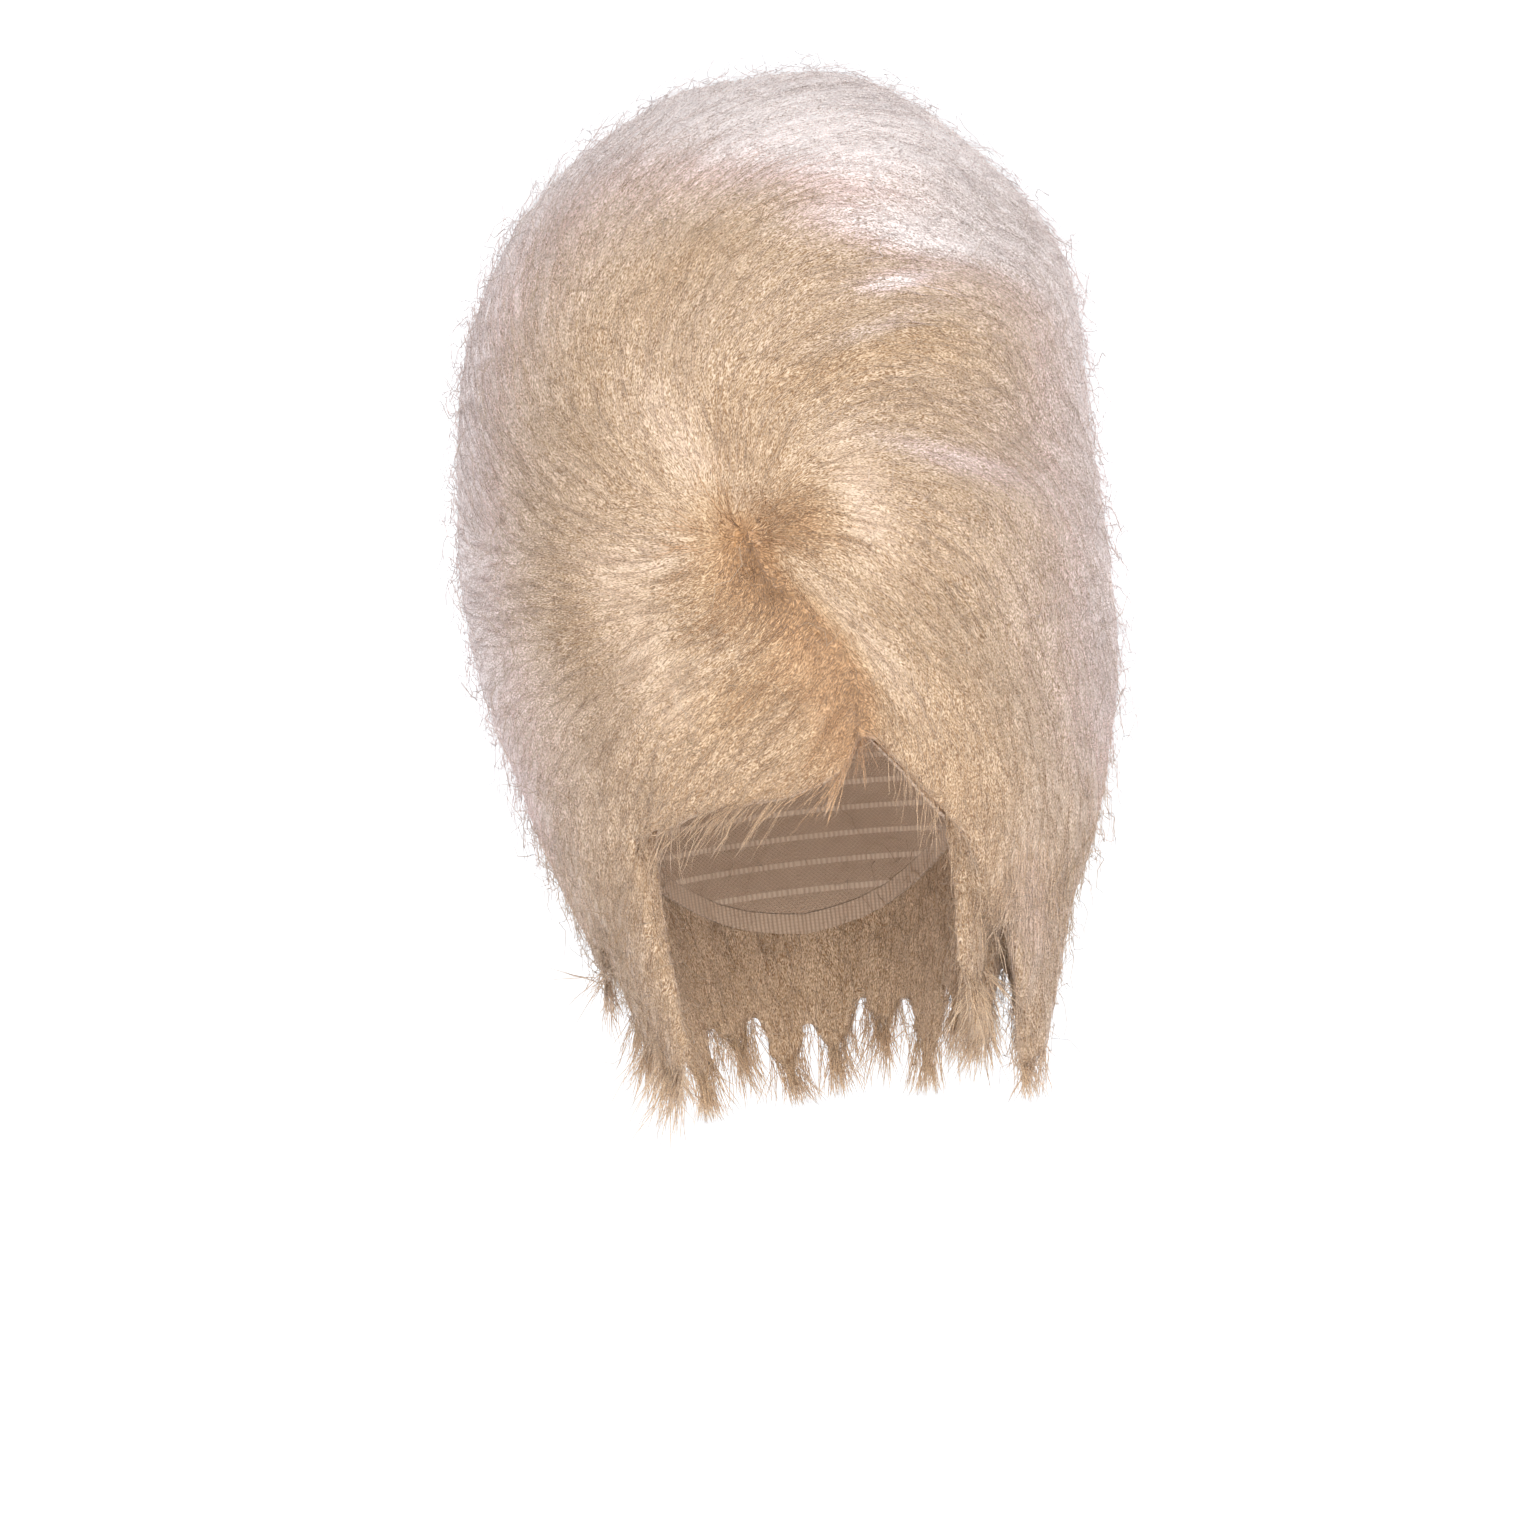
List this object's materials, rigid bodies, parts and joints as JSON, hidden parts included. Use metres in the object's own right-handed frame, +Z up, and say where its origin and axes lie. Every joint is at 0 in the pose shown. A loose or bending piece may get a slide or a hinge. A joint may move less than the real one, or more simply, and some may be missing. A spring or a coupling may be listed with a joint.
{
  "type": "beehive wig",
  "caption": "Tall teased beehive wig with a whorled front, a swept fringe, a lock before each ear and locks at the nape, on a net cap with an elastic edge.",
  "frame": {"origin": "the spot where the crown of the head touches the inside of the cap", "axes": "+Z up through the top of the beehive, -Y the way the face looks, +X the wearer's left"},
  "size_m": [0.2802, 0.2845, 0.4424],
  "materials": {
    "hair_blonde": "platinum blonde synthetic hair, teased and brushed over",
    "hair_fringe": "the same hair, combed thinner and paler",
    "cap_net": "fine stretch net with rows of sewn weft",
    "elastic_band": "woven elastic with a satin face"
  },
  "bodies": {
    "root": {"wig_cap": "cap_net", "edge_band": "elastic_band", "crown_hair": "hair_blonde", "fringe": "hair_fringe", "side_lock_right": "hair_blonde", "side_lock_left": "hair_blonde", "nape_hair": "hair_blonde"}
  },
  "joints": []
}
